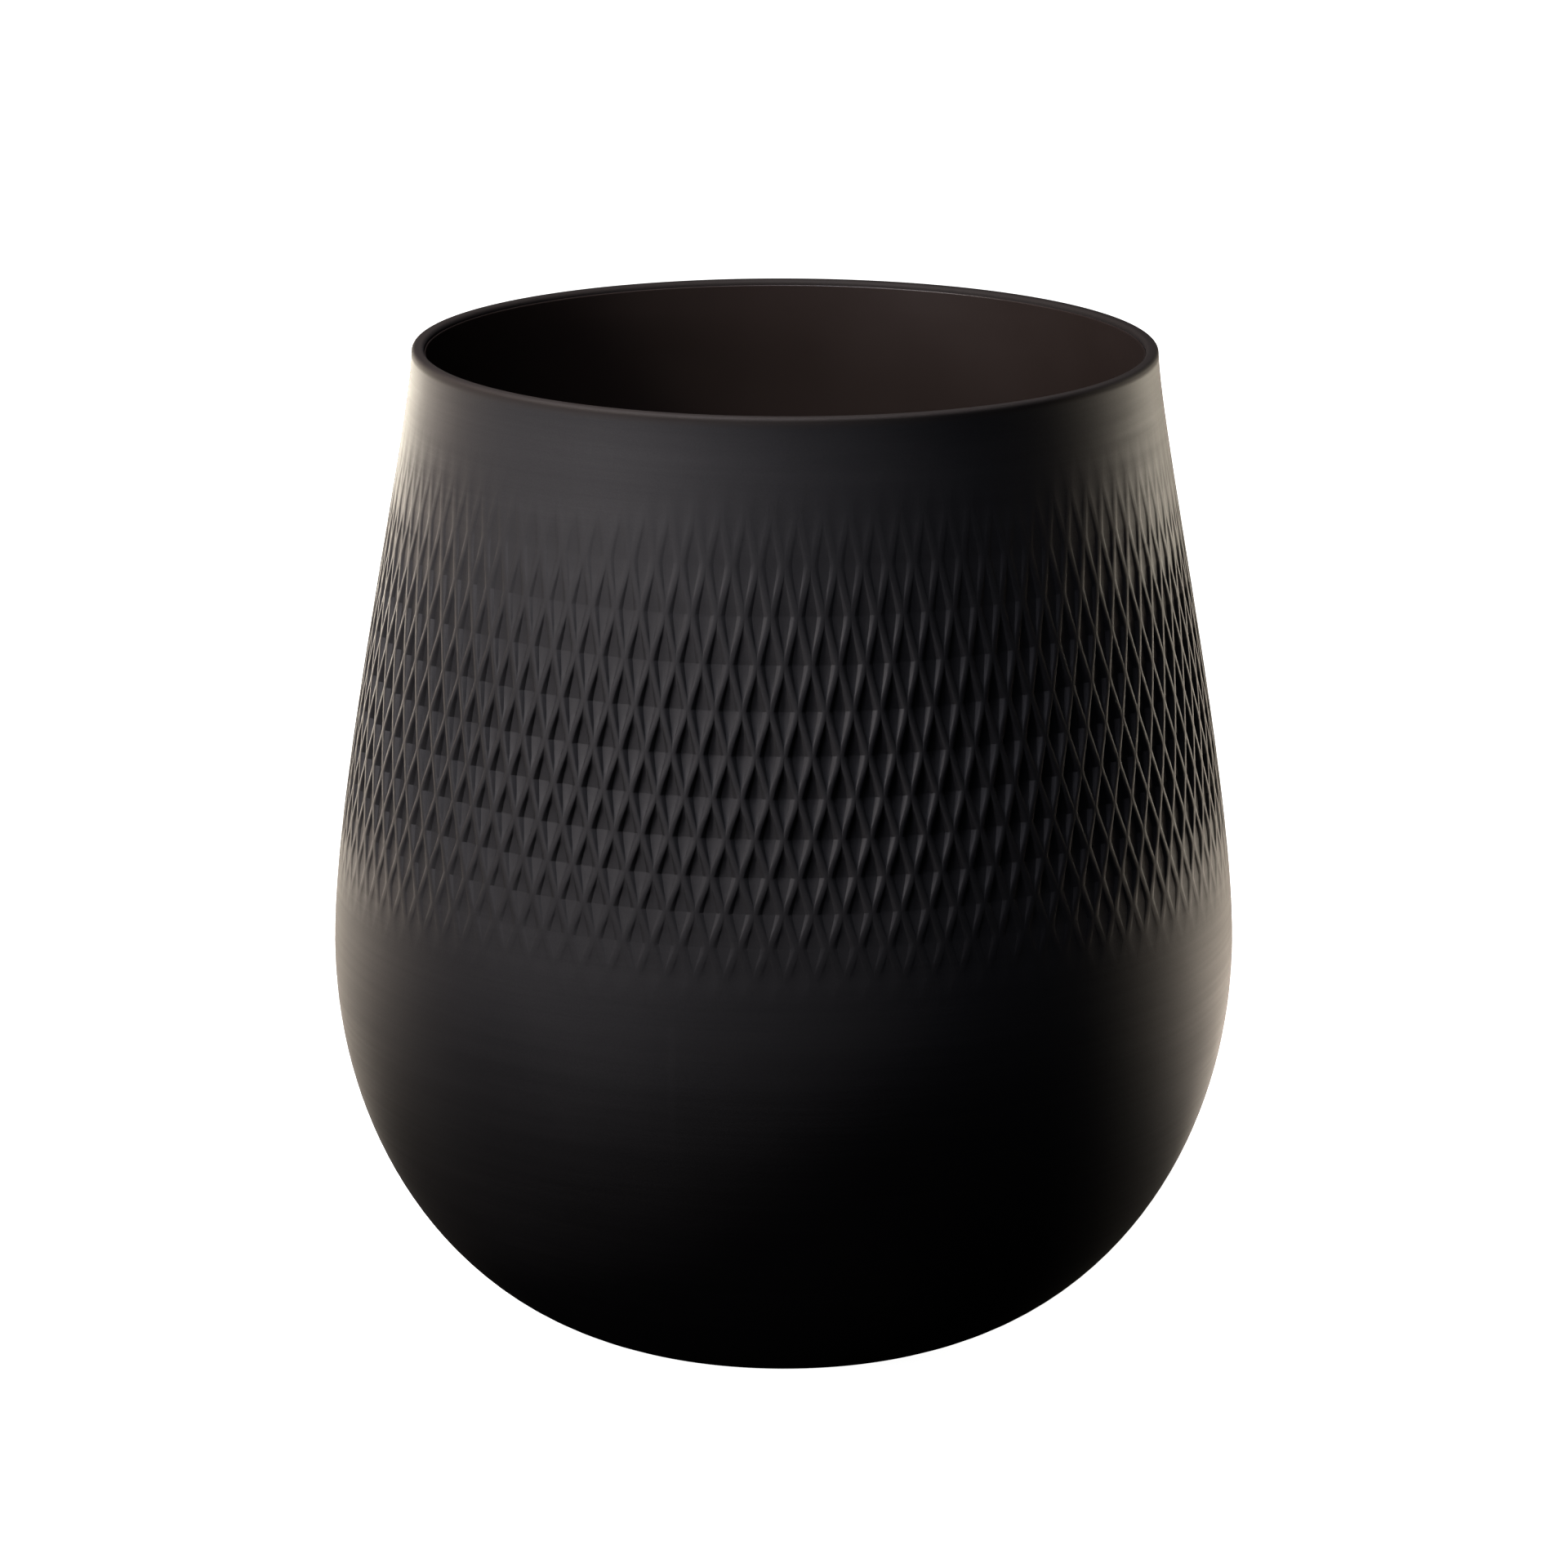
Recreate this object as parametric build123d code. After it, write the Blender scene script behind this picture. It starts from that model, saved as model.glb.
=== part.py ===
"""Open, egg-shaped porcelain jar for a poured candle, empty.

The jar is a body of revolution about Z: a narrow foot, a wide low belly, and a long wall that
tapers in to a thin round lip. A thin coat of glaze lines the inside, and three stick-on pads under
the foot hold it clear of the table. Z = 0 is the plane that it rests on, and Z is its axis.
"""
from build123d import *
from math import cos, radians, sin
import os

# Driving dimensions, in millimetres. Heights of the jar's curves are above its foot.
pad_thickness = 1.2

foot_radius = 52.8
foot_slope = 22.0  # degrees from level at which the wall leaves the foot
foot_pull = 31.4  # how far each end of a curve holds its direction
belly_radius = 102.5
belly_height = 86.0
belly_pull_down = 40.6
belly_pull_up = 35.8
lip_radius = 83.3
lip_height = 223.4
lip_pull = 15.4

belly_wall = 4.0
lip_wall = 2.8
lip_round = 0.9
foot_round = 0.5

floor_height = 7.5  # top of the porcelain floor
floor_radius = 44.0  # where the floor starts to rise
floor_pull = 26.0
hollow_pull_down = 47.0

recess_radius = 35.0
recess_depth = 2.2
recess_draft = 1.5  # how much narrower the recess is at its top

glaze_thickness = 0.4
glaze_below_lip = 1.2  # the lip itself is left unglazed

pad_count = 3
pad_radius = 4.5
pad_round = 0.35
pad_circle = 44.0  # radius of the circle that the pads stand on
first_pad_angle = 90.0  # degrees from +X, at the back of the jar


def at(radius, height):
    """A point on the right half of the jar's section."""
    return (radius, 0, height)


def turned(*edges):
    """The solid that a closed outline makes when it turns once about the jar's axis."""
    return revolve(make_face(Curve() + list(edges)), Axis.Z, 360)


def outer_shape():
    """The whole jar as a filled shape, from its foot to its lip."""
    slope = radians(foot_slope)
    foot = at(foot_radius, 0)
    belly = at(belly_radius, belly_height)
    lip = at(lip_radius, lip_height)
    bowl = Bezier(
        foot,
        at(foot_radius + foot_pull * cos(slope), foot_pull * sin(slope)),
        at(belly_radius, belly_height - belly_pull_down),
        belly,
    )
    wall = Bezier(
        belly,
        at(belly_radius, belly_height + belly_pull_up),
        at(lip_radius, lip_height - lip_pull),
        lip,
    )
    top = Line(lip, at(0, lip_height))
    axis = Line(at(0, lip_height), at(0, 0))
    underside = Line(at(0, 0), foot)
    return turned(bowl, wall, top, axis, underside)


def hollow_shape(coat):
    """The space inside the jar, made smaller all over by a coat of this thickness."""
    floor = floor_height + coat
    widest = belly_radius - belly_wall - coat
    mouth = lip_radius - lip_wall - coat
    floor_edge = at(floor_radius, floor)
    belly = at(widest, belly_height)
    lip = at(mouth, lip_height)
    level = Line(at(0, floor), floor_edge)
    bowl = Bezier(
        floor_edge,
        at(floor_radius + floor_pull, floor),
        at(widest, belly_height - hollow_pull_down),
        belly,
    )
    wall = Bezier(
        belly,
        at(widest, belly_height + belly_pull_up),
        at(mouth, lip_height - lip_pull),
        lip,
    )
    top = Line(lip, at(0, lip_height))
    axis = Line(at(0, lip_height), at(0, floor))
    return turned(level, bowl, wall, top, axis)


def foot_recess():
    """The shallow dish under the jar, which leaves a flat ring for it to stand on."""
    edge = at(recess_radius, 0)
    corner = at(recess_radius - recess_draft, recess_depth)
    centre = at(0, recess_depth)
    return turned(
        Line(at(0, 0), edge),
        Line(edge, corner),
        Line(corner, centre),
        Line(centre, at(0, 0)),
    )


def porcelain_body():
    """The fired body: hollow, with a rounded lip and a ring foot."""
    body = outer_shape() - hollow_shape(0) - foot_recess()
    rings = body.edges().filter_by(GeomType.CIRCLE).sort_by(Axis.Z)
    body = fillet(rings[-2:], lip_round)
    foot_edge = [e for e in body.edges().filter_by(GeomType.CIRCLE) if abs(e.radius - foot_radius) < 0.01]
    return fillet(foot_edge, foot_round)


def glaze_lining():
    """The coat of glaze on the floor and wall of the hollow, ending just under the lip."""
    coat = hollow_shape(0) - hollow_shape(glaze_thickness)
    bare_lip = Pos(0, 0, lip_height) * Cylinder(2 * lip_radius, 2 * glaze_below_lip)
    return coat - bare_lip


def foot_pad(angle):
    """A round stick-on pad under the foot ring, with its lower edge rounded."""
    place = Rot(0, 0, angle) * Pos(pad_circle, 0, 0)
    pad = Cylinder(pad_radius, pad_thickness, align=(Align.CENTER, Align.CENTER, Align.MIN))
    lower_edge = pad.edges().filter_by(GeomType.CIRCLE).sort_by(Axis.Z)[:1]
    return place * fillet(lower_edge, pad_round)


def all_parts():
    """Every piece of the jar in its place, by name."""
    on_pads = Pos(0, 0, pad_thickness)
    parts = {
        "porcelain_body": on_pads * porcelain_body(),
        "glaze_lining": on_pads * glaze_lining(),
    }
    for i in range(pad_count):
        parts[f"foot_pad_{i + 1}"] = foot_pad(first_pad_angle + i * 360 / pad_count)
    return parts


os.makedirs("parts", exist_ok=True)
for name, part in all_parts().items():
    export_step(part, f"parts/{name}.step")
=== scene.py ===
"""How the empty candle jar looks: carved matt black porcelain with a satin glaze inside.

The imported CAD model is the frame. The body's mesh is made here with its carved relief as real
shape, cut inwards from the CAD surface. Everything is in metres, with Z up along the jar's axis.
"""
import math

import bpy
import numpy as np
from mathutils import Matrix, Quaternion, Vector


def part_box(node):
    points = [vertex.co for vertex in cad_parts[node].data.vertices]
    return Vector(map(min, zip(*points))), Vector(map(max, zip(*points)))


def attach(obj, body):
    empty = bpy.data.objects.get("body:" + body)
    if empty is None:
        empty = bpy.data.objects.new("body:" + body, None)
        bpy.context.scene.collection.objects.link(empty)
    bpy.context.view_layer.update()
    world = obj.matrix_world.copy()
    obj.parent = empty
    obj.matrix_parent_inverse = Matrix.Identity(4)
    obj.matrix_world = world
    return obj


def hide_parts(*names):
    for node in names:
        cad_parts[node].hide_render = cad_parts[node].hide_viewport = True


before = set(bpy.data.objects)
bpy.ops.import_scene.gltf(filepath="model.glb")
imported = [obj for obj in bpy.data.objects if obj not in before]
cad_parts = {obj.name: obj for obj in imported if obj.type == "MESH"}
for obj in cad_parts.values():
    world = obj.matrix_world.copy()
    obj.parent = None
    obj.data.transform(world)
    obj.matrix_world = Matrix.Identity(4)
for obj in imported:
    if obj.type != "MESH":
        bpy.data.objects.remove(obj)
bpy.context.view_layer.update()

MM = 0.001

# The outside, as in the CAD model, whose boxes give the heights of the foot and the lip
body_low, body_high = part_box("porcelain_body")
foot_z = body_low.z
lip_z = body_high.z
foot_radius = 52.8 * MM
foot_slope = math.radians(22.0)
foot_pull = 31.4 * MM
foot_round = 0.5 * MM
belly_radius = 102.5 * MM
belly_z = foot_z + 86.0 * MM
belly_pull_down = 40.6 * MM
belly_pull_up = 35.8 * MM
lip_radius = 83.3 * MM
lip_pull = 15.4 * MM

# The wall, the hollow and the recess under the foot
belly_wall = 4.0 * MM
lip_wall = 2.8 * MM
lip_round = 0.9 * MM
floor_z = foot_z + 7.5 * MM
floor_radius = 44.0 * MM
floor_pull = 26.0 * MM
hollow_pull_down = 47.0 * MM
recess_radius = 35.0 * MM
recess_depth = 2.2 * MM
recess_draft = 1.5 * MM
recess_round = 0.5 * MM
glaze_thickness = 0.4 * MM
glaze_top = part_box("glaze_lining")[1].z
glaze_round = 0.18 * MM

# The carved relief: rows of diamond cells, each row half a cell round from the next
cells_round = 99
first_row, last_row = -1, 12
row_zero = foot_z + 105.2 * MM
row_pitch = 6.91 * MM  # between rows 0 and 1; it grows by row_growth with each row up
row_growth = 0.4034 * MM
cell_depth = 1.35 * MM
deepest_row = 5.4  # where the cells have their full depth
fade_rows = 6.5  # how many rows it takes for that to fade out, both up and down
fade_power = 2.2
cell_share = 0.40  # from a cell's middle to its edge on its own row, in cells
cell_reach = 0.82  # from there to its ends, in rows
cell_round = 0.03  # how rounded its sides are on its own row
# Across a cell, from its middle (0) to its edge (1): the foot of the wall, and its rounded top
wall_foot, wall_shoulder = 0.56, 0.86
foot_depth, shoulder_depth = 0.78, 0.16  # as shares of the depth at the middle
# The points across a cell, and how deep each of them is
cell_marks = np.array([-1, -wall_shoulder, -wall_foot, 0, wall_foot, wall_shoulder, 1])
cell_section = np.array([0, shoulder_depth, foot_depth, 1, foot_depth, shoulder_depth, 0])
foot_marks = (2, 4)  # which of the marks are the feet of its two walls
floor_power = 0.46  # lower is a flatter floor, higher a sharper crease across its middle
closed_share = 0.01  # where a cell has closed up, its points stay this far from its middle
row_steps = (0.0, 1 - cell_reach, 0.5, cell_reach)  # levels of the grid, from a row to the next
crease_depth = 0.08 * MM  # where the carving is deeper than this, its creases are sharp

# The mould's seams: how far round from the front, and where they end under the carving
seam_turn = math.radians(-13.5)
seam_top = foot_z + 99 * MM
seam_core, seam_edge = 0.2 * MM, 1.3 * MM  # half its width, at full strength and in all
seam_fade = 6 * MM  # under its top
seam_low, seam_high = seam_top - 40 * MM, seam_top - 22 * MM  # where it fades out going down

# Painted shade on the lip's top, darker and browner, where the lamps above light it too brightly:
# from nothing to its full strength
painted_lip_shade_low, painted_lip_shade_high = lip_z - 2.5 * MM, lip_z - 0.6 * MM

plain_segments = 198  # round the plain parts
plain_step = 3.5 * MM  # between rings on the plain parts
neck_step, hollow_step = 2 * MM, 7 * MM  # between rings above the carving, and in the hollow
floor_step = 8 * MM  # between rings on the floor inside
floor_margin = 4 * MM  # from the first of them to the edge of that floor
recess_step, foot_step = 6 * MM, 4 * MM  # between rings on the underside
band_margin = 1 * MM  # from the carved grid to the next plain ring
axis_gap = 8 * MM  # radius of the innermost ring, which triangles close over the axis

# The floor: its width, and how far under the pads it lies
floor_size = 16.0
floor_gap = 0.02 * MM

# The view
camera_target = Vector((0, 0, foot_z + 121.7 * MM))
camera_distance = 1.3935
camera_elevation = math.radians(14.9)
camera_roll = math.radians(0.14)
camera_lens = 140.6


# ---------------------------------------------------------------- outlines, as (radius, height)


def bezier(points, count=800):
    """Points along a cubic Bezier curve."""
    t = np.linspace(0, 1, count)[:, None]
    p0, p1, p2, p3 = (np.array(p, float) for p in points)
    return (1 - t) ** 3 * p0 + 3 * t * (1 - t) ** 2 * p1 + 3 * t**2 * (1 - t) * p2 + t**3 * p3


def upper_wall(belly, lip):
    """The tapering wall, inside or outside, from this radius at the belly to this one at the lip."""
    middle = [(belly, belly_z + belly_pull_up), (lip, lip_z - lip_pull)]
    return bezier([(belly, belly_z), *middle, (lip, lip_z)])


def outer_line():
    """The outside of the jar from its foot to its lip."""
    reach_out = foot_pull * math.cos(foot_slope)
    reach_up = foot_pull * math.sin(foot_slope)
    bowl = bezier(
        [
            (foot_radius, foot_z),
            (foot_radius + reach_out, foot_z + reach_up),
            (belly_radius, belly_z - belly_pull_down),
            (belly_radius, belly_z),
        ]
    )
    return np.vstack([bowl, upper_wall(belly_radius, lip_radius)[1:]])


def hollow_line(coat):
    """The inside of the jar from the edge of its floor to its lip, under a coat this thick."""
    widest = belly_radius - belly_wall - coat
    floor = floor_z + coat
    bowl = bezier(
        [
            (floor_radius, floor),
            (floor_radius + floor_pull, floor),
            (widest, belly_z - hollow_pull_down),
            (widest, belly_z),
        ]
    )
    return np.vstack([bowl, upper_wall(widest, lip_radius - lip_wall - coat)[1:]])


def part_of(line, low, high, step=plain_step):
    """The part of a rising line between two heights, with points about this far apart."""
    ends = [(np.interp(z, line[:, 1], line[:, 0]), z) for z in (low, high)]
    inner = line[(line[:, 1] > low) & (line[:, 1] < high)]
    return spaced(np.vstack([ends[0], inner, ends[1]]), step)


def spaced(line, step=plain_step):
    """A line with its points spread evenly, about this far apart."""
    line = np.asarray(line, float)
    along = np.append(0, np.cumsum(np.hypot(*np.diff(line, axis=0).T)))
    wanted = np.linspace(0, along[-1], max(2, round(along[-1] / step) + 1))
    return np.column_stack([np.interp(wanted, along, line[:, k]) for k in (0, 1)])


def corner(before, point, after, radius, count=6):
    """A corner rounded by an arc, between the directions of the points beside it."""
    before, point, after = (np.asarray(p, float) for p in (before, point, after))
    back, on = before - point, after - point
    back, on = back / np.hypot(*back), on / np.hypot(*on)
    half = math.acos(float(np.clip(back @ on, -1, 1))) / 2
    middle = (back + on) / np.hypot(*(back + on))
    centre = point + middle * radius / math.sin(half)
    start = point + back * radius / math.tan(half) - centre
    end = point + on * radius / math.tan(half) - centre
    first = math.atan2(start[1], start[0])
    turn = (math.atan2(end[1], end[0]) - first + math.pi) % (2 * math.pi) - math.pi
    angle = first + np.linspace(0, turn, count)
    return centre + radius * np.column_stack([np.cos(angle), np.sin(angle)])


# ---------------------------------------------------------------- meshes


class Skin:
    """The points and faces of one mesh, gathered ring by ring."""

    def __init__(self):
        self.points = np.zeros((0, 3))
        self.angles = np.zeros(0)
        self.carving = np.zeros(0)
        self.faces = []

    def add(self, radius, angle, z, carving=0.0):
        """Adds points, placed round the axis from -Y, and returns their numbers."""
        radius, angle, z, carving = np.broadcast_arrays(radius, angle, z, carving)
        places = np.stack([radius * np.sin(angle), -radius * np.cos(angle), z], axis=-1)
        numbers = len(self.points) + np.arange(radius.size).reshape(radius.shape)
        self.points = np.vstack([self.points, places.reshape(-1, 3)])
        self.angles = np.append(self.angles, angle)
        self.carving = np.append(self.carving, carving)
        return numbers

    def once_round(self, ring):
        """A ring's points and angles, in order from the -Y side, with the first one again."""
        angle = self.angles[ring] % (2 * math.pi)
        start = -int(np.argmin(angle))
        ring, angle = np.roll(ring, start), np.roll(angle, start)
        return np.append(ring, ring[0]).tolist(), np.append(angle, angle[0] + 2 * math.pi)

    def join(self, ring, following):
        """Fills between two rings, which may differ in how many points they have."""
        if len(ring) == len(following) and np.allclose(self.angles[ring], self.angles[following]):
            quads = [ring, np.roll(ring, -1), np.roll(following, -1), following]
            self.faces.extend(np.stack(quads, axis=-1).tolist())
            return
        low, low_at = self.once_round(ring)
        high, high_at = self.once_round(following)
        i = j = 0
        while i < len(ring) or j < len(following):
            if j == len(following) or (i < len(ring) and low_at[i + 1] <= high_at[j + 1]):
                self.faces.append([low[i], low[i + 1], high[j]])
                i += 1
            else:
                self.faces.append([low[i], high[j + 1], high[j]])
                j += 1

    def lathe(self, line, ring=None):
        """Turns a line about the axis, going on from a ring if there is one."""
        angle = np.arange(plain_segments) * (2 * math.pi / plain_segments)
        rings = [self.add(radius, angle, z) for radius, z in line]
        for following in rings:
            if ring is not None:
                self.join(ring, following)
            ring = following
        return rings[0], ring

    def close(self, ring, at_start=False):
        """Fills a ring with triangles that meet on the axis."""
        centre = int(self.add(0.0, 0.0, self.points[ring[0], 2]))
        for this, following in zip(ring.tolist(), np.roll(ring, -1).tolist()):
            edge = [following, this] if at_start else [this, following]
            self.faces.append([*edge, centre])

    def piece(self, name, material):
        """The finished mesh as an object, shaded smooth."""
        mesh = bpy.data.meshes.new(name)
        mesh.from_pydata(self.points.tolist(), [], self.faces)
        mesh.shade_smooth()
        mesh.materials.append(material)
        layer = mesh.attributes.new("carving", "FLOAT", "POINT")
        layer.data.foreach_set("value", self.carving.astype(np.float32))
        made = bpy.data.objects.new(name, mesh)
        bpy.context.scene.collection.objects.link(made)
        return made


def row_height(row):
    """Height of a row of cells above the table. The rows get further apart going up."""
    return row_zero + row_pitch * row + row_growth * row * (row - 1) / 2


def narrowing(away):
    """How much a cell has narrowed this many rows from its own row, with a rounded start."""
    return math.hypot(away, cell_round) - cell_round


def relief_ring(level):
    """Places across the cells at a level, in cells, and how deep each of them is carved.

    Cells of even rows have their middles at the halves, and those of odd rows at the wholes.
    A cell is widest on its own row and closes on the rows above and below it.
    """
    fade = max(-1, min(1, (level - deepest_row) / fade_rows))
    deepest = cell_depth * math.cos(fade * math.pi / 2) ** fade_power
    places, depths = [], []
    for middle in (0.5, 1.0):
        away = abs((level - 2 * middle) % 2 - 1)
        share = max(0, 1 - narrowing(away) / narrowing(cell_reach))
        places.append(middle + cell_marks * max(share * cell_share, closed_share))
        depths.append(cell_section * deepest * share**floor_power)
    return np.concatenate(places), np.concatenate(depths)


def relief_band(skin, line, ring):
    """Adds the carved band on to a ring, as a grid whose lines are the edges of the facets."""
    slope = np.gradient(line[:, 0], line[:, 1])
    rings = []
    for row in range(first_row, last_row + 1):
        for step in row_steps if row < last_row else (0.0,):
            place, depth = relief_ring(row + step)
            place = (np.arange(cells_round)[:, None] + place).ravel()
            depth = np.tile(depth, cells_round)
            z = row_height(row + step)
            lean = np.interp(z, line[:, 1], slope)
            inwards = depth / math.hypot(1, lean)
            radius = np.interp(z, line[:, 1], line[:, 0]) - inwards
            angle = place * (2 * math.pi / cells_round)
            rings.append(skin.add(radius, angle, z + inwards * lean, depth / cell_depth))
    skin.join(ring, rings[0])
    for lower, upper in zip(rings, rings[1:]):
        quads = [lower, np.roll(lower, -1), np.roll(upper, -1), upper]
        skin.faces.extend(np.stack(quads, axis=-1).tolist())
    return np.array(rings)


def sharpen_creases(piece, grid):
    """Keeps the feet of each cell's walls sharp, and the crease across its middle."""
    mesh = piece.data
    ends = np.zeros(len(mesh.edges) * 2, np.int64)
    mesh.edges.foreach_get("vertices", ends)
    one, two = ends.reshape(-1, 2).T
    carving = np.zeros(len(mesh.vertices), np.float32)
    mesh.attributes["carving"].data.foreach_get("value", carving)
    level = np.full(len(mesh.vertices), -1)
    column = level.copy()
    level[grid], column[grid] = np.indices(grid.shape)
    in_band = (level[one] >= 0) & (level[two] >= 0)
    crease = (level[one] == level[two]) & (level[one] % len(row_steps) == 0)
    mark = column[one] % len(cell_marks)
    foot = (column[one] == column[two]) & np.isin(mark, foot_marks)
    deep = np.maximum(carving[one], carving[two]) * cell_depth > crease_depth
    mesh.edges.foreach_set("use_edge_sharp", in_band & (crease | foot) & deep)


def porcelain_body(material):
    """The whole body as one closed skin: underside, carved outside, lip and hollow."""
    outside, inside = outer_line(), hollow_line(0)
    band_low, band_high = row_height(first_row), row_height(last_row)
    recess_top = foot_z + recess_depth
    recess_corner = (recess_radius - recess_draft, recess_top)
    recess_edge = (recess_radius, foot_z)
    foot = (foot_radius, foot_z)
    lip, inner_lip = (lip_radius, lip_z), (lip_radius - lip_wall, lip_z)
    past_foot = (foot_radius + math.cos(foot_slope), foot_z + math.sin(foot_slope))
    foot_edge = corner(recess_edge, foot, past_foot, foot_round, 4)
    ceiling = [(axis_gap, recess_top), (recess_corner[0] - 2 * recess_round, recess_top)]
    foot_face = [(recess_radius + 2 * recess_round, foot_z), (foot_edge[0][0] - 1 * MM, foot_z)]
    underside = np.vstack(
        [
            spaced(ceiling, recess_step),
            corner((0, recess_top), recess_corner, recess_edge, recess_round),
            corner(recess_corner, recess_edge, foot, recess_round),
            spaced(foot_face, foot_step),
            foot_edge,
        ]
    )
    skin = Skin()
    first, ring = skin.lathe(underside)
    skin.close(first, at_start=True)
    bowl = part_of(outside, foot_edge[-1][1] + 0.4 * MM, band_low - band_margin)
    ring = skin.lathe(bowl, ring)[1]
    grid = relief_band(skin, outside, ring)
    under_lip = lip_z - 1.5 * lip_round
    neck = part_of(outside, band_high + band_margin, under_lip, neck_step)
    lip_line = np.vstack(
        [
            corner((lip_radius, foot_z), lip, inner_lip, lip_round, 8),
            corner(lip, inner_lip, (inner_lip[0], foot_z), lip_round, 8),
        ]
    )
    inner_wall = part_of(inside, floor_z, under_lip, hollow_step)[::-1]
    floor = spaced([(floor_radius - floor_margin, floor_z), (axis_gap, floor_z)], floor_step)
    ring = skin.lathe(np.vstack([neck, lip_line, inner_wall, floor]), grid[-1])[1]
    skin.close(ring)
    made = skin.piece("jar_body", material)
    sharpen_creases(made, grid)
    return made


def glaze_lining(material):
    """The coat of glaze in the hollow, closed, with its upper edge rounded."""
    wall, face = hollow_line(0), hollow_line(glaze_thickness)
    skin = Skin()
    base = part_of(wall, floor_z, glaze_top)
    top = np.array([base[-1], part_of(face, floor_z + glaze_thickness, glaze_top)[-1]])
    under_top = top - (0, 5 * MM)
    rim = np.vstack(
        [
            corner(under_top[0], top[0], top[1], glaze_round, 4),
            corner(top[0], top[1], under_top[1], glaze_round, 4),
        ]
    )
    back = part_of(wall, floor_z, glaze_top - 2 * glaze_round)
    front = part_of(face, floor_z + glaze_thickness, glaze_top - 2 * glaze_round)[::-1]
    under = spaced([(axis_gap, floor_z), (floor_radius - floor_margin, floor_z)], floor_step)
    floor = under[::-1] + (0, glaze_thickness)
    first, last = skin.lathe(np.vstack([under, back, rim, front, floor]))
    skin.close(first, at_start=True)
    skin.close(last)
    return skin.piece("jar_lining", material)


# ---------------------------------------------------------------- materials


class Nodes:
    """A material's node tree, with short calls for the nodes that are used here."""

    def __init__(self, name):
        self.material = bpy.data.materials.new(name)
        self.material.use_nodes = True
        self.tree = self.material.node_tree
        self.shader = self.tree.nodes["Principled BSDF"]
        self.place = self.tree.nodes.new("ShaderNodeTexCoord").outputs["Object"]

    def put(self, kind, **inputs):
        """A new node with these inputs, each a value or another node's output."""
        made = self.tree.nodes.new(kind)
        for name, value in inputs.items():
            self.feed(made.inputs[name.replace("_", " ")], value)
        return made

    def feed(self, socket, value):
        if isinstance(value, bpy.types.NodeSocket):
            self.tree.links.new(value, socket)
        else:
            socket.default_value = value

    def noise(self, scale, detail=2.0, stretch=None):
        """Noise with this many cycles to a metre, stretched along an axis if wanted."""
        place = self.place
        if stretch:
            place = self.put("ShaderNodeMapping", Vector=place, Scale=stretch).outputs["Vector"]
        made = self.put("ShaderNodeTexNoise", Vector=place, Scale=scale, Detail=detail)
        return made.outputs["Fac"]

    def spread(self, value, low, high, from_low=0.3, from_high=0.7):
        """A value from one range carried to another."""
        made = self.put("ShaderNodeMapRange", Value=value)
        ends = {"From Min": from_low, "From Max": from_high, "To Min": low, "To Max": high}
        for name, end in ends.items():
            made.inputs[name].default_value = end
        return made.outputs["Result"]

    def maths(self, one, two, operation="ADD"):
        """Two values added, or put through another operation."""
        made = self.tree.nodes.new("ShaderNodeMath")
        made.operation = operation
        self.feed(made.inputs[0], one)
        self.feed(made.inputs[1], two)
        return made.outputs[0]

    def mix(self, amount, dark, light):
        """A colour between two others."""
        made = self.tree.nodes.new("ShaderNodeMix")
        made.data_type = "RGBA"
        self.feed(made.inputs["Factor"], amount)
        self.feed(made.inputs["A"], dark)
        self.feed(made.inputs["B"], light)
        return made.outputs["Result"]

    def bump(self, height, distance):
        made = self.put("ShaderNodeBump", Height=height, Distance=distance, Strength=1.0)
        self.tree.links.new(made.outputs["Normal"], self.shader.inputs["Normal"])

    def set(self, **inputs):
        """Sets the shader's own inputs."""
        for name, value in inputs.items():
            self.feed(self.shader.inputs[name.replace("_", " ")], value)


def seam(nodes, patches):
    """1 along the two faint seams that the mould leaves below the carving, on opposite sides."""
    place = nodes.put("ShaderNodeSeparateXYZ", Vector=nodes.place).outputs
    along = nodes.maths(place["X"], math.cos(seam_turn), "MULTIPLY")
    off = nodes.maths(along, nodes.maths(place["Y"], math.sin(seam_turn), "MULTIPLY"))
    line = nodes.spread(nodes.maths(off, 0, "ABSOLUTE"), 1.0, 0.0, seam_core, seam_edge)
    below = nodes.spread(place["Z"], 1.0, 0.0, seam_top - seam_fade, seam_top)
    above = nodes.spread(place["Z"], 0.0, 1.0, seam_low, seam_high)
    height = nodes.maths(below, above, "MULTIPLY")
    seen = nodes.maths(height, nodes.spread(patches, 0.4, 1.0), "MULTIPLY")
    return nodes.maths(line, seen, "MULTIPLY")


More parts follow.
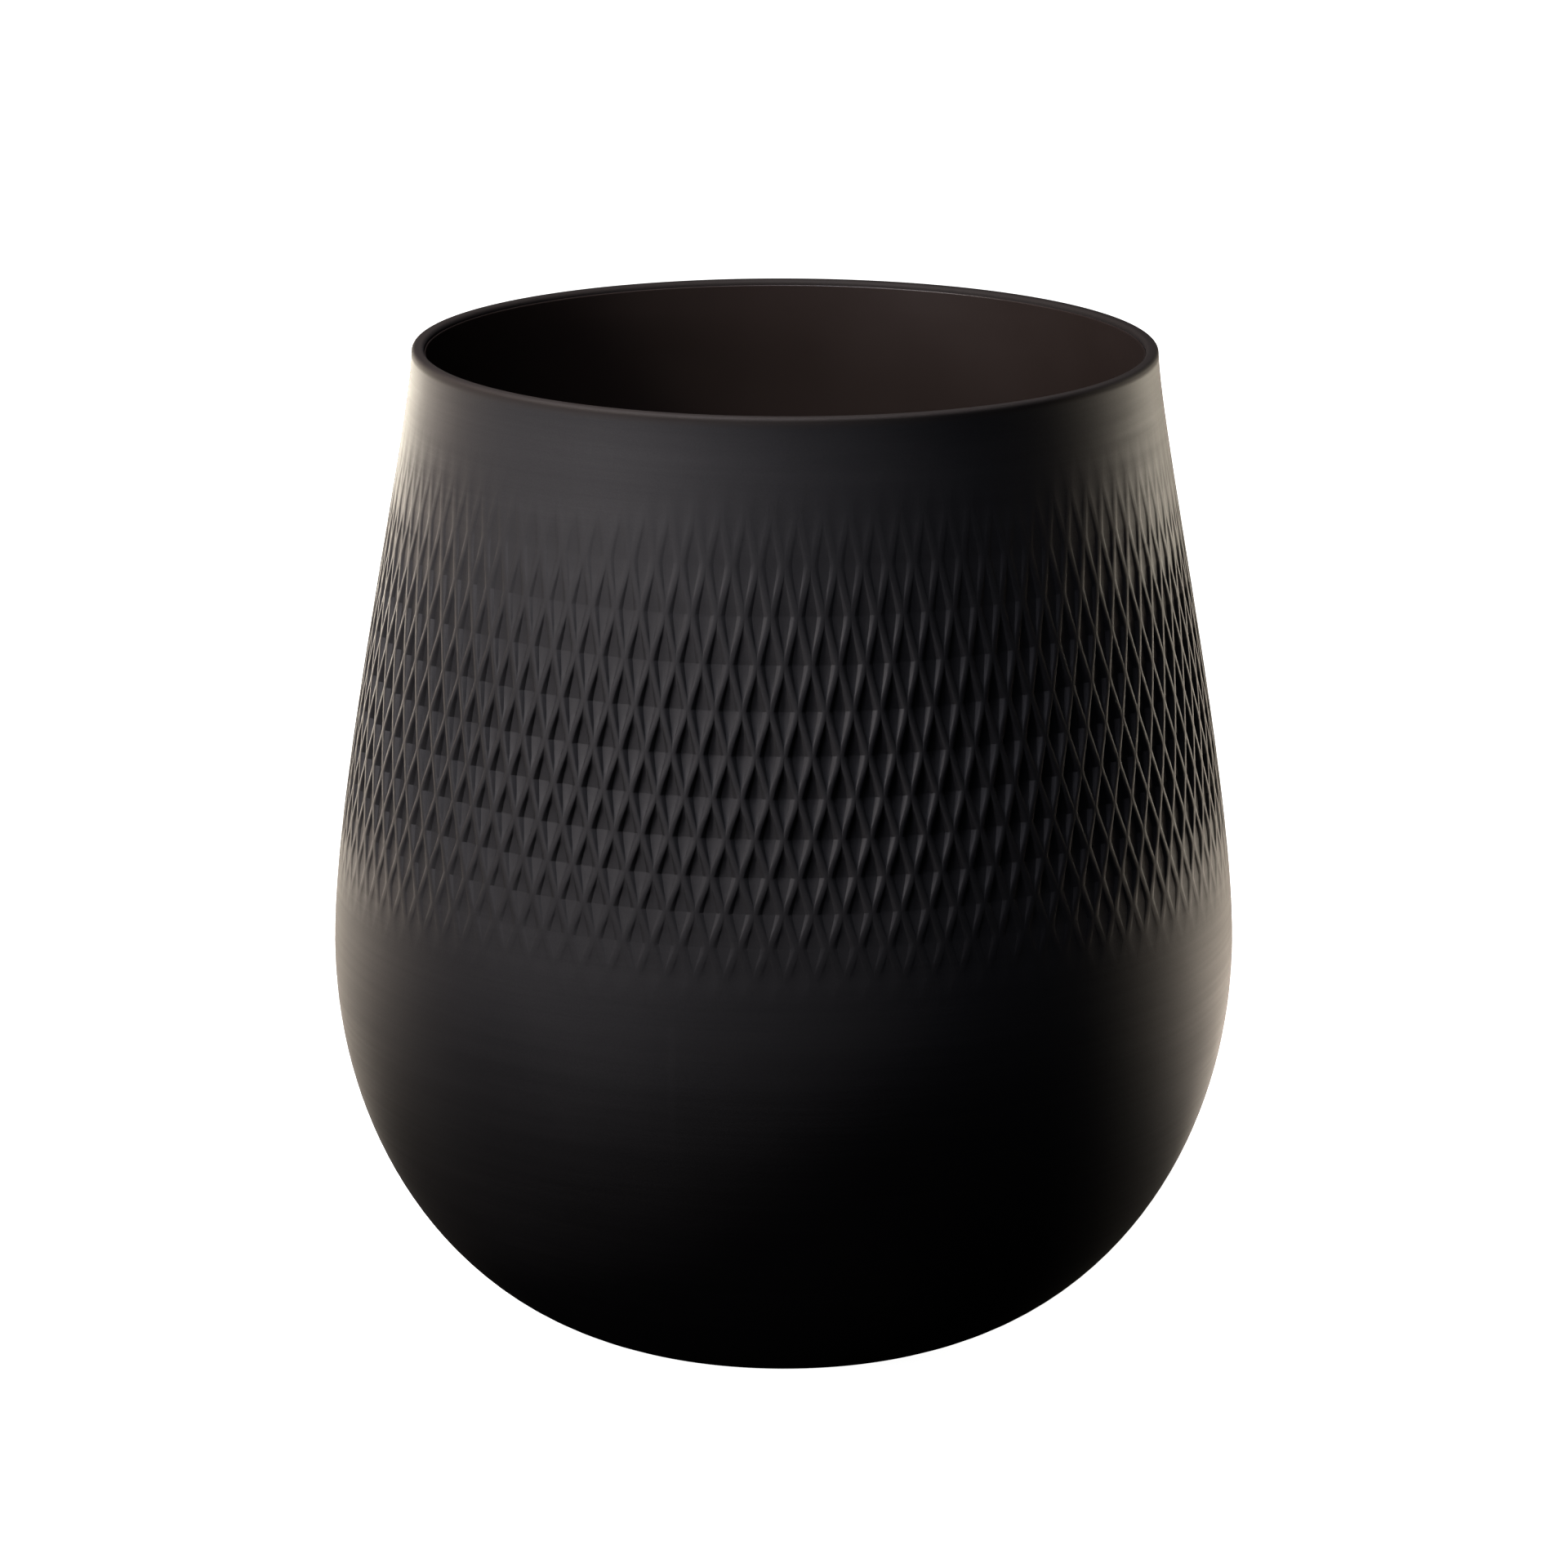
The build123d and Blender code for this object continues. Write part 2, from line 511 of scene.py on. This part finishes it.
def matt_black_porcelain():
    """Unglazed black body: fine grain, faint rubbed streaks and turning marks, mould seams, and
    painted shade on the lip's top, darker and browner where the lamps above light it too brightly."""
    nodes = Nodes("matt_black_porcelain")
    grain = nodes.noise(2600.0, 3.0)
    clouds = nodes.noise(28.0, 4.0)
    rubbed = nodes.noise(1.0, 4.0, stretch=(16.0, 16.0, 260.0))
    turning = nodes.noise(1.0, 3.0, stretch=(18.0, 18.0, 900.0))
    shade = nodes.maths(nodes.spread(grain, 0.0, 0.45), nodes.spread(clouds, 0.0, 0.3))
    shade = nodes.maths(shade, nodes.spread(rubbed, 0.0, 0.35))
    shade = nodes.maths(shade, nodes.maths(seam(nodes, clouds), 0.5, "MULTIPLY"))
    colour = nodes.mix(shade, (0.0125, 0.0122, 0.0138, 1), (0.0225, 0.0218, 0.0235, 1))
    height = nodes.put("ShaderNodeSeparateXYZ", Vector=nodes.place).outputs["Z"]
    # Painted shade: the lip's top is darkened and tinted brown because the lamps above light it too
    # brightly; it is made rougher there too
    painted_lip_shade = nodes.spread(height, 0.0, 1.0, painted_lip_shade_low, painted_lip_shade_high)
    colour = nodes.mix(painted_lip_shade, colour, (0.0165, 0.0115, 0.0090, 1))
    rough = nodes.maths(nodes.spread(clouds, 0.60, 0.66), nodes.spread(turning, -0.02, 0.02))
    rough = nodes.maths(rough, nodes.spread(painted_lip_shade, 0.0, 0.16))
    nodes.set(Base_Color=colour, Roughness=rough)
    nodes.bump(nodes.maths(grain, nodes.spread(turning, 0.0, 0.7)), 0.012 * MM)
    return nodes.material


def satin_glaze():
    """Brown-black glaze, smooth with a slight orange peel."""
    nodes = Nodes("satin_glaze")
    clouds = nodes.noise(22.0, 3.0)
    peel = nodes.noise(420.0, 2.0)
    turning = nodes.noise(1.0, 2.0, stretch=(10.0, 10.0, 420.0))
    colour = nodes.mix(clouds, (0.025, 0.018, 0.0155, 1), (0.038, 0.028, 0.0245, 1))
    nodes.set(Base_Color=colour, Roughness=nodes.spread(clouds, 0.36, 0.44))
    nodes.bump(nodes.maths(peel, turning), 0.02 * MM)
    return nodes.material


def pad_rubber():
    """Black rubber of the stick-on pads, with a fine pebbled face."""
    nodes = Nodes("pad_rubber")
    pebbles = nodes.noise(1500.0, 2.0)
    shade = nodes.spread(pebbles, 0.0, 1.0)
    colour = nodes.mix(shade, (0.018, 0.018, 0.019, 1), (0.030, 0.030, 0.031, 1))
    nodes.set(Base_Color=colour, Roughness=nodes.spread(pebbles, 0.70, 0.82))
    nodes.bump(pebbles, 0.03 * MM)
    return nodes.material


# ---------------------------------------------------------------- floor, light and camera


def pale_floor():
    """A plain pale floor. It glows, less so near the jar, where a soft shadow can then show."""
    nodes = Nodes("pale_floor")
    reach = nodes.tree.nodes.new("ShaderNodeVectorMath")
    reach.operation = "LENGTH"
    nodes.tree.links.new(nodes.place, reach.inputs[0])
    glow = nodes.spread(reach.outputs["Value"], 0.82, 1.0, 0.15, 0.75)
    nodes.set(Base_Color=(0.80, 0.80, 0.80, 1), Roughness=0.9)
    nodes.set(Emission_Color=(1, 1, 1, 1), Emission_Strength=glow)
    nodes.shader.inputs["Specular IOR Level"].default_value = 0.0
    half = floor_size / 2
    mesh = bpy.data.meshes.new("floor")
    corners = [(-half, -half, 0), (half, -half, 0), (half, half, 0), (-half, half, 0)]
    mesh.from_pydata(corners, [], [(0, 1, 2, 3)])
    mesh.materials.append(nodes.material)
    floor = bpy.data.objects.new("floor", mesh)
    floor.location.z = -floor_gap
    floor.visible_diffuse = False
    floor.visible_glossy = False
    bpy.context.scene.collection.objects.link(floor)
    return floor


def pale_world():
    """A pale surround that the camera sees, and that gives no light of its own."""
    world = bpy.data.worlds.new("surround")
    world.use_nodes = True
    tree = world.node_tree
    background = tree.nodes["Background"]
    background.inputs["Color"].default_value = (1, 1, 1, 1)
    seen = tree.nodes.new("ShaderNodeLightPath").outputs["Is Camera Ray"]
    tree.links.new(seen, background.inputs["Strength"])
    bpy.context.scene.world = world


def soft_light(name, azimuth, elevation, distance, size, power, colour):
    """A soft box that faces the jar. Azimuth 0 is the camera's side, 90 the right."""
    light = bpy.data.lights.new(name, "AREA")
    light.shape = "RECTANGLE"
    light.size, light.size_y = size
    light.energy = power
    light.color = colour
    made = bpy.data.objects.new(name, light)
    turn, rise = math.radians(azimuth), math.radians(elevation)
    out = Vector((math.sin(turn) * math.cos(rise), -math.cos(turn) * math.cos(rise), math.sin(rise)))
    made.location = camera_target + distance * out
    made.rotation_mode = "QUATERNION"
    made.rotation_quaternion = (-out).to_track_quat("-Z", "Y")
    bpy.context.scene.collection.objects.link(made)


def floor_light(name, left, right, near, far, power, colour):
    """A glowing part of the floor behind the jar, as wide and deep as this."""
    light = bpy.data.lights.new(name, "AREA")
    light.shape = "RECTANGLE"
    light.size, light.size_y = right - left, far - near
    light.energy = power
    light.color = colour
    made = bpy.data.objects.new(name, light)
    made.location = ((left + right) / 2, (near + far) / 2, 1 * MM)
    made.rotation_euler.x = math.pi
    made.visible_camera = False
    bpy.context.scene.collection.objects.link(made)


def make_camera():
    """A camera at the height and distance from which the jar is seen."""
    camera = bpy.data.cameras.new("camera")
    camera.lens = camera_lens
    camera.sensor_width = 36.0
    made = bpy.data.objects.new("camera", camera)
    out = Vector((0, -math.cos(camera_elevation), math.sin(camera_elevation)))
    made.location = camera_target + camera_distance * out
    made.rotation_mode = "QUATERNION"
    made.rotation_quaternion = (-out).to_track_quat("-Z", "Y") @ Quaternion((0, 0, 1), camera_roll)
    bpy.context.scene.collection.objects.link(made)
    bpy.context.scene.camera = made


# ---------------------------------------------------------------- the jar and its scene

body = porcelain_body(matt_black_porcelain())
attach(body, "root")
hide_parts("porcelain_body")

lining = glaze_lining(satin_glaze())
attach(lining, "root")
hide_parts("glaze_lining")

rubber = pad_rubber()
for node_name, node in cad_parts.items():
    if node_name.startswith("foot_pad"):
        node.data.materials.clear()
        node.data.materials.append(rubber)

pale_floor()
pale_world()
soft_light("key_box", -60, 38, 0.6, (0.1, 0.1), 2.14, (1.06, 0.99, 0.95))
soft_light("high_box", -45, 66, 0.6, (0.18, 0.18), 1.99, (0.96, 0.98, 1.06))
soft_light("top_box", -20, 72, 1.0, (0.25, 0.25), 3.32, (0.96, 0.96, 1.09))
soft_light("low_box", -43, 11, 1.5, (0.3, 0.14), 2.7, (1.02, 0.96, 1.02))
soft_light("left_edge", -131, 0, 1.2, (0.35, 0.2), 2.13, (1.14, 0.99, 0.87))
soft_light("left_back", -150, 0, 1.2, (0.35, 0.2), 5.37, (1.11, 1.03, 0.87))
soft_light("right_edge", 132, 0, 1.2, (0.4, 0.2), 3.85, (1.1, 1.03, 0.87))
floor_light("floor_left", -1.5, 0, 0.15, 2.2, 14.63, (1.17, 1.0, 0.83))
floor_light("floor_right", 0, 1.5, 0.15, 2.2, 15.76, (1.2, 0.98, 0.82))
floor_light("near_left", -0.5, -0.06, 0.07, 0.25, 0.45, (1.14, 1.0, 0.86))
floor_light("near_right", 0.06, 0.5, 0.07, 0.25, 0.95, (1.14, 1.0, 0.86))
floor_light("front_right", 0.15, 1.2, -0.6, 0.15, 0.1, (0.75, 0.96, 1.29))
make_camera()

bpy.context.scene.view_settings.view_transform = "Standard"
bpy.context.scene.view_settings.look = "Medium High Contrast"
